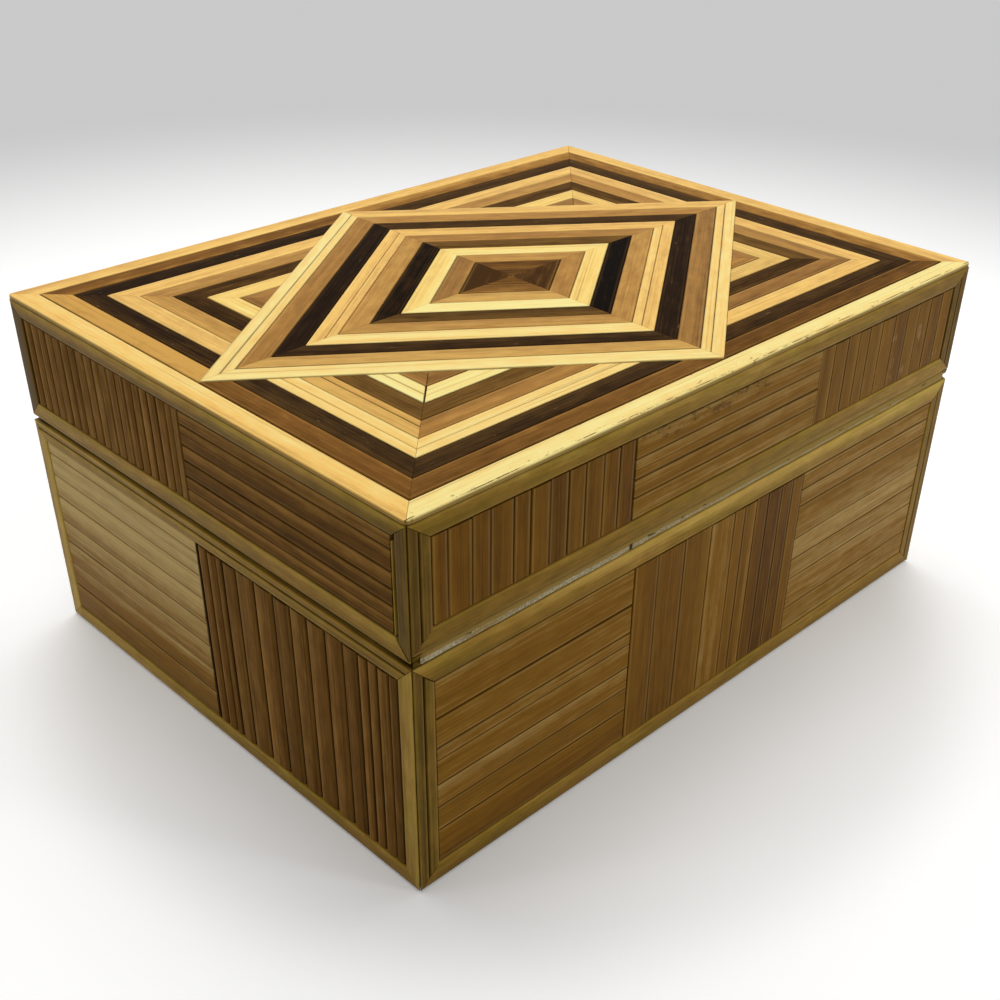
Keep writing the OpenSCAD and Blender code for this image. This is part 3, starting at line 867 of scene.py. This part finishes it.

# The diamond's bands in the same way, with a tone for each quarter, and the quarters without pieced bands
# The quarters' tones differ partly as painted sheen, which changes with the way the straws run.
DIAMOND_BANDS = (
    ("pale", (0.6, 0.35, -0.4, 0.1), (0, 0.56, 1)), ("tan", (0.55, -0.25, 0.2, -0.3), (0, 1)),
    ("black", (0.3, -0.2, 0.6, -0.2), (0, 1)), ("pale", (0.6, -0.2, -0.3, -0.2), (0, 0.58, 1)),
    ("tan", (0.15, 0.25, -0.1, 0.2), (0, 1)), ("dark", (0.35, -0.8, 0.6, -1.0), (0, 1)),
    ("cream", (0.9, 0.1, 0.4, 0.0), (0, 1)), ("tan", (0.6, -0.45, 0.25, -0.15), (0, 1)),
)
WHOLE_QUARTERS = (0, 2)

# Tones of the straws in each triangle of the diamond's centre, which differ partly as painted sheen
CENTRE_TONES = ((-0.1, -0.4), (-1.1,), (-0.5, -0.65), (-0.85,))


def lay_border():
    """The border of the top, with its corners rounded."""
    chance.seed(TOP_SEED)
    x1, y1 = DIAMOND_X, DIAMOND_Y
    soft, rooms = (0.5, 1.1, 1.9), [GAP / 2, MITRE_ROOM] * 2
    border = []
    # The border's tones are partly painted sheen: highest along the back, then along the +X end.
    for s, tone in ((1, 0.8), (-1, -0.25)):
        outline = [(-HALF_L, s * HALF_W), (HALF_L, s * HALF_W), (x1, s * y1), (-x1, s * y1)]
        border.append(cut_straw(outline[::-s], (1, 0), TILE_T, "border", tone, soft, rooms))
    for s, tone in ((1, 0.12), (-1, -0.25)):
        outline = [(s * HALF_L, -HALF_W), (s * HALF_L, HALF_W), (s * x1, y1), (s * x1, -y1)]
        border.append(cut_straw(outline[::s], (0, 1), TILE_T, "border", tone, soft, rooms))
    round_corners(lay("top_border", "lid", "pale", border, TOP_FACE))


def round_corners(piece, radius=1.2):
    """Rounds the four upright corners of a piece that reaches the box's outline."""
    for v in piece.data.vertices:
        dx = abs(v.co.x) / MM - (HALF_L - radius)
        dy = abs(v.co.y) / MM - (HALF_W - radius)
        if dx > 0 and dy > 0 and math.hypot(dx, dy) > radius:
            pull = radius / math.hypot(dx, dy)
            v.co.x = math.copysign((HALF_L - radius + dx * pull) * MM, v.co.x)
            v.co.y = math.copysign((HALF_W - radius + dy * pull) * MM, v.co.y)


def edge_x(y):
    """Where the diamond's edge crosses a height y in the first quarter."""
    return DIAMOND_X * (1 - y / DIAMOND_Y)


def edge_y(x):
    """Where the diamond's edge crosses a place x in the first quarter."""
    return DIAMOND_Y * (1 - x / DIAMOND_X)


def in_corner(outline, corner):
    """Mirrors an outline of the first quarter into another corner, kept counter-clockwise."""
    moved = [(x * corner[0], y * corner[1]) for x, y in outline]
    return moved if corner[0] * corner[1] > 0 else moved[::-1]


def lay_on_top(node, kind, straws, slot=None):
    """Joins the straws of one node on the top into a piece."""
    lay(node, "lid", kind, straws, TOP_FACE, 0.03, slot)


def cut_band(outline, corner, along, thick, tone, split_outside, split_inside, mitre=MITRE_ROOM):
    """One straw of a band on the top, laid out in the first quarter and mirrored into its corner."""
    outline = in_corner(outline, corner)
    along = Vector((along[0] * corner[0], along[1] * corner[1])).normalized()
    reach = [abs(Vector(p).dot(Vector((-along.y, along.x)))) for p in outline]
    rooms = []
    for i, point in enumerate(outline):
        step = (Vector(outline[(i + 1) % len(outline)]) - Vector(point)).normalized()
        split = split_outside if 2 * reach[i] > min(reach) + max(reach) else split_inside
        if abs(step.dot(along)) < 0.999:
            rooms.append(mitre)
        else:
            rooms.append(PIECED_ROOM if split else BAND_ROOM)
    return cut_straw(outline, along, thick, "flat", tone, rooms=rooms)


def lay_bands():
    """Six rectangular bands and the triangles in each corner outside the diamond."""
    for k, (name, tones, splits) in enumerate(RECT_BANDS, 1):
        straws = []
        for c, corner in enumerate(CORNERS):
            for leg in (0, 1):
                parts = splits if (name, c, leg) in PIECED else (0, 1)
                for p, q in zip(parts, parts[1:]):
                    xa, ya = HALF_L - (k + p) * BAND_W, HALF_W - (k + p) * BAND_W
                    xb, yb = HALF_L - (k + q) * BAND_W, HALF_W - (k + q) * BAND_W
                    if leg == 0:
                        outline = [(edge_x(yb), yb), (xb, yb), (xa, ya), (edge_x(ya), ya)]
                    else:
                        outline = [(xb, edge_y(xb)), (xa, edge_y(xa)), (xa, ya), (xb, yb)]
                    tone = tones[2 * c + leg] + about(0.12)
                    mitre = OPEN_MITRE if (name, c) == ("cream", 0) else MITRE_ROOM
                    along = (1 - leg, leg)
                    straws.append(cut_band(outline, corner, along, TILE_T, tone, p > 0, q < 1, mitre))
        lay_on_top("top_band_" + name, name, straws)
    x, y = HALF_L - 7 * BAND_W, HALF_W - 7 * BAND_W
    mitre_x = (1 + (x - y) / DIAMOND_Y) / (1 / DIAMOND_X + 1 / DIAMOND_Y)
    meet = (mitre_x, mitre_x - (x - y))
    straws = []
    for corner in CORNERS:
        for outline, along in (
            ([(edge_x(y), y), meet, (x, y)], (1, 0)), ([meet, (x, edge_y(x)), (x, y)], (0, 1)),
        ):
            tone = chance.uniform(-0.6, 0.0)
            straws.append(cut_straw(in_corner(outline, corner), along, TILE_T, "flat", tone))
    lay_on_top("top_corner_triangles", "tan", straws)


def lay_diamond():
    """Eight mitred bands round a centre of four triangles."""
    reach = DIAMOND_X * DIAMOND_Y / math.hypot(DIAMOND_X, DIAMOND_Y)
    for k, (name, tones, splits) in enumerate(DIAMOND_BANDS, 1):
        straws = []
        for c, corner in enumerate(CORNERS):
            parts = (0, 1) if c in WHOLE_QUARTERS else splits
            for p, q in zip(parts, parts[1:]):
                a, b = (1 - (k - 1 + part) * DIAMOND_BAND_W / reach for part in (p, q))
                outline = [(b * DIAMOND_X, 0), (a * DIAMOND_X, 0), (0, a * DIAMOND_Y), (0, b * DIAMOND_Y)]
                tone = tones[c] + about(0.1)
                along = (-DIAMOND_X, DIAMOND_Y)
                straws.append(cut_band(outline, corner, along, DIAMOND_T, tone, p > 0, q < 1))
        lay_on_top(f"diamond_band_{k}_{name}", name, straws)
    s = 1 - len(DIAMOND_BANDS) * DIAMOND_BAND_W / reach
    straws = []
    for corner, tones in zip(CORNERS, CENTRE_TONES):
        along = (-DIAMOND_X * corner[0], DIAMOND_Y * corner[1])
        parts = [i / len(tones) for i in range(len(tones) + 1)]
        for tone, p, q in zip(tones, parts, parts[1:]):
            a, b = s * (1 - p), s * (1 - q)
            outline = [(a * DIAMOND_X, 0), (0, a * DIAMOND_Y)]
            outline += [(0, b * DIAMOND_Y), (b * DIAMOND_X, 0)] if b > 0.01 else [(0, 0)]
            rooms = [MITRE_ROOM] * len(outline)
            straws.append(cut_straw(in_corner(outline, corner), along, DIAMOND_T, "flat", tone, rooms=rooms))
    lay_on_top("diamond_centre", "chestnut", straws, slot="umber")


# How deep the stain of the glue lies in the walls, and in the top board
WALL_STAIN, BOARD_STAIN = 0.35, 0.05


def wood_finish(name, along_x):
    """Pale sawn board inside, stained with glue where the straw covers it."""
    f = Finish(name, 0.62, 0.3)
    where = f.place()
    stretch = (14, 260, 260) if along_x else (260, 14, 260)
    rings = f.noise(where, stretch, 4, 0.6)
    pores = f.noise(where, tuple(6 * s for s in stretch), 2)
    height = f.plus(f.times(rings, 0.8), f.times(pores, 0.25))
    shown = f.ramp(height, (
        (0.3, colour(176, 134, 84)), (0.55, colour(206, 168, 116)), (0.8, colour(226, 196, 148)),
    ))
    x, y, z = f.axes(where)
    ends = f.over(f.size(x), (CASE_L / 2 - WALL_STAIN) * MM)
    sides = f.over(f.size(y), (CASE_W / 2 - WALL_STAIN) * MM)
    outside = f.most(f.most(ends, sides), f.over(z, (CASE_TOP - BOARD_STAIN) * MM))
    f.give("Base Color", f.blend(outside, shown, colour(34, 22, 12)))
    f.bump(height, 0.00006)
    return f.material


def finish_case():
    """Gives the wooden case its wood and eases its edges."""
    along, crosswise = wood_finish("case_wood_long", True), wood_finish("case_wood_short", False)
    for name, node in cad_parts.items():
        if not name.endswith(("_wall", "_board")):
            continue
        node.data.materials.clear()
        node.data.materials.append(crosswise if "left" in name or "right" in name else along)
        weld = node.modifiers.new("weld", "WELD")
        weld.merge_threshold = 0.00001
        ease = node.modifiers.new("ease", "BEVEL")
        ease.width, ease.segments, ease.limit_method = 0.0003, 2, "ANGLE"
        ease.angle_limit = math.radians(40)


# The length after which a wave texture of scale 1 repeats
WAVE_LENGTH = 0.314


def cloth_finish(name, thread, dark, light, rough=0.75, weave_share=0.4, shine=0.35, sheen=0.2, marks=None):
    """Plain-woven cloth, laid out on the piece's own UV map, with its threads this far apart."""
    f = Finish(name, rough, shine)
    where = f.uv("weave")
    waves = []
    for turn in ("X", "Y"):
        inputs = {"Scale": WAVE_LENGTH / thread, "Distortion": 1.2, "Detail Scale": 0.4, "Vector": where}
        waves.append(f.add("ShaderNodeTexWave", inputs, bands_direction=turn).outputs["Fac"])
    weave = f.times(*waves)
    blotch = f.noise(where, (120, 120, 1), 4, 0.65)
    slub = f.noise(where, (1500, 2400, 1), 2, shift=(4, 6, 0))
    height = f.times(weave, weave_share)
    for field in (blotch, slub):
        height = f.plus(height, f.times(field, 0.55))
    shown = f.ramp(height, ((0.3, colour(*dark)), (0.85, colour(*light))))
    f.give("Base Color", marks(f, where, shown) if marks else shown)
    f.bump(f.plus(weave, slub), 0.00008)
    f.give("Sheen Weight", sheen)
    return f.material


def glue_stains(f, where, shown):
    """Glue has browned the hinge cloth, all but the silvery threads at its fold, above a dark line.

    Towards the end that is left in the cloth's own layout only one thread still shows.
    """
    x, y, _ = f.axes(where)
    glitter = f.spots(where, (2300, 3000, 1), 0.46, 0.66, 2, 0.6, (3, 3, 0))
    shown = f.blend(f.times(glitter, 0.7), shown, colour(216, 204, 166))
    # All but the fold
    wander = f.sway(f.noise(where, (70, 1, 1), 4, 0.7), 0.001)
    thinner = f.times(f.rest(f.band(x, 0.004, 0.022)), 0.0003)
    bare = f.window(f.plus(f.plus(y, wander), thinner), -0.0007, 0.0005, 0.0002)
    patches = f.spots(where, (60, 700, 1), 0.5, 0.64, 4, 0.7, (2, 5, 0))
    covered = f.most(f.rest(bare), f.times(patches, 0.8))
    shown = f.blend(f.times(covered, 0.94), shown, colour(146, 116, 50))
    # The fold too, towards the left, but for specks and a broken thread
    specks = f.spots(where, (220, 900, 1), 0.54, 0.66, 3, 0.6, (1, 9, 0))
    browned = f.times(f.rest(f.band(x, -0.045, 0.05)), f.rest(f.times(specks, 0.45)))
    shown = f.blend(browned, shown, colour(150, 122, 58))
    broken = f.spots(where, (110, 1, 1), 0.4, 0.52, 4, 0.7, (6, 0, 4))
    thread = f.window(f.plus(y, f.times(wander, 0.3)), -0.00012, 0.00014, 0.0001)
    thread = f.times(thread, f.times(broken, f.window(x, -0.052, 0.0, 0.014)))
    shown = f.blend(f.times(thread, 0.55), shown, colour(166, 162, 130))
    nicks = f.spots(where, (260, 900, 1), 0.66, 0.7, 2, shift=(7, 1, 0))
    shown = f.blend(f.times(nicks, 0.8), shown, colour(48, 34, 16))
    # A dark spot across the fold, and the line below it
    burn = f.window(f.plus(x, wander), 0.0268, 0.0273, 0.0003)
    burn = f.times(burn, f.window(y, -0.0004, 0.0007, 0.0003))
    below = f.window(f.plus(y, f.times(wander, 0.1)), -0.002, -0.0005, 0.00012)
    return f.blend(f.times(f.most(burn, f.times(below, 0.8)), 0.95), shown, colour(40, 28, 12))


def lay_weave(mesh):
    """Lays a cloth's weave out flat."""
    layer = mesh.uv_layers.new(name="weave")
    for loop in mesh.loops:
        layer.data[loop.index].uv = mesh.vertices[loop.vertex_index].co.xy


# The hinge cloth: how deep it lies in the wall, its thickness, how far it rolls out at the fold, and where
# below and above the fold that begins, with the height that it takes
CLOTH_SEAT, CLOTH_T, ROLL_OUT = 0.17, 0.22, 0.96
ROLL_FOOT, ROLL_HEAD = (-0.62, 0.3), (1.6, 0.4)


def hang_hinge_cloth():
    """The strip of cloth glued to both back walls, rolled out a little where it folds at the seam."""
    length, flat = CASE_L - 2, 2 * LEAF_H + 0.6
    clear_selection()
    bpy.ops.mesh.primitive_grid_add(x_subdivisions=90, y_subdivisions=160, size=1)
    cloth = bpy.context.object
    cloth.name = "hinge_cloth"
    cloth.data.transform(Matrix.Diagonal((length * MM, flat * MM, 1, 1)))
    lay_weave(cloth.data)
    half = flat / 2
    for v in cloth.data.vertices:
        x, s = v.co.x / MM, v.co.y / MM
        lean = min((s - ROLL_FOOT[0]) / ROLL_FOOT[1], (ROLL_HEAD[0] - s) / ROLL_HEAD[1])
        lean = min(1.0, max(0.0, lean))
        roll = ROLL_OUT * (lean * lean * (3 - 2 * lean))
        # More cloth lies near the fold than the straight drop takes
        drop = s * (half - 0.3) / half
        ripple = lean * (0.03 * math.sin(x * 0.9) + 0.04 * math.sin(x * 0.23 + 1))
        v.co = Vector((v.co.x, (CASE_W / 2 - CLOTH_SEAT + roll + ripple) * MM, (SEAM_Z + drop) * MM))
    bpy.ops.object.modifier_add(type="SOLIDIFY")
    cloth.modifiers[-1].thickness, cloth.modifiers[-1].offset = CLOTH_T * MM, 0
    bpy.ops.object.modifier_apply(modifier=cloth.modifiers[-1].name)
    bpy.ops.object.shade_smooth()
    cloth.data.materials.append(
        cloth_finish("hinge_cloth", 0.0004, (84, 72, 44), (196, 184, 148), 0.6, 0.25, 0.08, 0.0, glue_stains)
    )
    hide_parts("hinge_cloth_base_leaf", "hinge_cloth_fold", "hinge_cloth_lid_leaf")
    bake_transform(cloth)


# How far the pads' edges are eased, and how much thinner the pads are there
PAD_EASE, PAD_DROP = 0.35, 0.35


def pad_linings():
    """Cloth-covered pads on the floor and under the lid, thicker in the middle than at their edges."""
    finish = cloth_finish("lining_cloth", 0.0005, (84, 88, 92), (134, 138, 142), rough=0.85)
    l = CASE_L - 2 * WALL_T - 2 * LINING_GAP
    w = CASE_W - 2 * WALL_T - 2 * LINING_GAP
    for node, body, z, up in (
        ("base_floor_lining", "base", BOARD_T, 1), ("lid_lining", "lid", CASE_TOP - BOARD_T, -1),
    ):
        pad = add_block((0, 0, 0.5), (l, w, LINING_T))
        bpy.ops.object.mode_set(mode="EDIT")
        bpy.ops.mesh.select_mode(type="EDGE")
        bpy.ops.mesh.select_all(action="SELECT")
        bpy.ops.mesh.bevel(offset=PAD_EASE, segments=3, profile=0.5, affect="EDGES")
        pick_edges(lambda a, b: (a - b).length > 20)
        bpy.ops.mesh.subdivide(number_cuts=30)
        bpy.ops.object.mode_set(mode="OBJECT")
        for v in pad.data.vertices:
            if v.co.z > 0.6:
                u, t = abs(v.co.x) / (l / 2), abs(v.co.y) / (w / 2)
                v.co.z -= PAD_DROP * max(u ** 12, t ** 12)
        pad.name = node + "_pad"
        facing = Matrix.Diagonal((1, up, up, 1))
        pad.data.transform(Matrix.Scale(MM, 4) @ Matrix.Translation((0, 0, z)) @ facing)
        lay_weave(pad.data)
        bpy.ops.object.shade_smooth_by_angle(angle=math.radians(50))
        pad.data.materials.append(finish)
        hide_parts(node)
        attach(pad, body)


# White paper, where it lies under the box, what it throws back on the box, its grey far away, and the
# strength of the light all round
PAPER, PAPER_MIDDLE, BOUNCE = (0.93, 0.93, 0.92, 1), (0.012, 0.012, 0), (0.8, 0.8, 0.79, 1)
FAR_GREY, DAYLIGHT = 0.585, 0.34

# Between which distances the paper turns grey, and between which it comes out of the box's shade, with the
# painted light that it glows with there, and what it glows everywhere before it is grey
TURN_GREY, OUT_OF_SHADE, OPEN_PAINTED_LIGHT, PAPER_GLOW = (0.19, 0.46), (0.083, 0.104), 0.11, 0.12

# Square lamps: size, power and place. Spots: cone, power, place and aim
LAMPS = (("key", 0.9, 7.8, (-0.2, -0.3, 1.1)), ("fill", 0.9, 0.8, (0.25, 0.95, 0.6)))
SPOTS = (
    ("back_spot", 27, 20.0, (-0.55, 0.95, 0.5), (-0.16, 0.057, 0.03)),
    ("end_spot", 25, 9.0, (0.95, -0.6, 0.5), (0.076, -0.15, 0.03)),
)

# The photograph's camera: lens and film width in millimetres, how far its picture is shifted, its place, and
# its turn in degrees
CAMERA_LENS, FILM_W, CAMERA_SHIFT = 47.62, 36, (-0.0288, 0.1058)
CAMERA_PLACE, CAMERA_TURN = (0.17601, 0.17854, 0.16623), (55.602, -1.081, 135.030)


def seen_by(f):
    """One for what the camera sees, straight or in a shine, and nothing for the light that bounces."""
    path = f.add("ShaderNodeLightPath").outputs
    return f.most(f.most(path["Is Camera Ray"], path["Is Glossy Ray"]), path["Is Transmission Ray"])


def paper_finish():
    """White paper that goes an even grey far from the box, with painted light beyond the box's shade."""
    f = Finish("paper", 0.8, 0.0)
    away = f.add("ShaderNodeVectorMath", {0: f.place(), 1: PAPER_MIDDLE}, operation="DISTANCE")
    away = away.outputs["Value"]
    far = f.band(away, *TURN_GREY)
    seen = seen_by(f)
    f.give("Base Color", f.blend(seen, BOUNCE, f.blend(far, PAPER, (0, 0, 0, 1))))
    # Painted light on the paper where it comes out of the box's shade
    painted_open_light = f.times(f.band(away, *OUT_OF_SHADE), OPEN_PAINTED_LIGHT)
    near_glow = f.times(f.rest(far), f.plus(painted_open_light, PAPER_GLOW))
    glow = f.plus(near_glow, f.times(far, FAR_GREY))
    f.give("Emission Strength", f.times(seen, glow))
    return f.material


def light_world():
    """Even daylight all round, which shows as the same grey as the far paper."""
    world = bpy.data.worlds.new("studio")
    bpy.context.scene.world = world
    world.use_nodes = True
    f = Nodes(world.node_tree)
    sky = f.tree.nodes["Background"].inputs
    f.feed(sky["Color"], (1, 1, 1, 1))
    f.feed(sky["Strength"], f.plus(f.times(seen_by(f), FAR_GREY - DAYLIGHT), DAYLIGHT))


def hang(name, data, place):
    """A lamp or a camera hung in its place."""
    holder = bpy.data.objects.new(name, data)
    holder.location = place
    bpy.context.scene.collection.objects.link(holder)
    return holder


def hang_lamp(name, kind, power, place, aim):
    """A lamp of a kind that points from its place to its aim."""
    lamp = bpy.data.lights.new(name, kind)
    lamp.energy = power
    hang(name, lamp, place).rotation_euler = (Vector(place) - Vector(aim)).to_track_quat("Z", "Y").to_euler()
    return lamp


def set_stage():
    """White paper under the box, soft light from above and from both sides, and the photograph's camera."""
    clear_selection()
    bpy.ops.mesh.primitive_circle_add(vertices=96, radius=3, fill_type="NGON")
    floor = bpy.context.object
    floor.name = "floor"
    floor.data.materials.append(paper_finish())
    for name, size, power, place in LAMPS:
        lamp = hang_lamp(name, "AREA", power, place, (0, 0, 0.04))
        lamp.shape, lamp.size = "SQUARE", size
    for name, cone, power, place, aim in SPOTS:
        lamp = hang_lamp(name, "SPOT", power, place, aim)
        lamp.spot_size, lamp.spot_blend, lamp.shadow_soft_size = math.radians(cone), 1.0, 0.2
    light_world()
    camera = bpy.data.cameras.new("camera")
    camera.lens, camera.sensor_width = CAMERA_LENS, FILM_W
    camera.shift_x, camera.shift_y = CAMERA_SHIFT
    camera.clip_start = 0.01
    holder = hang("camera", camera, CAMERA_PLACE)
    holder.rotation_euler = [math.radians(a) for a in CAMERA_TURN]
    bpy.context.scene.camera = holder
    bpy.context.scene.view_settings.view_transform = "Standard"


lay_long_sides()
lay_ends()
lay_border()
lay_bands()
lay_diamond()
hang_hinge_cloth()
pad_linings()
finish_case()
for blank in straw_blanks.values():
    bpy.data.objects.remove(blank)
set_stage()
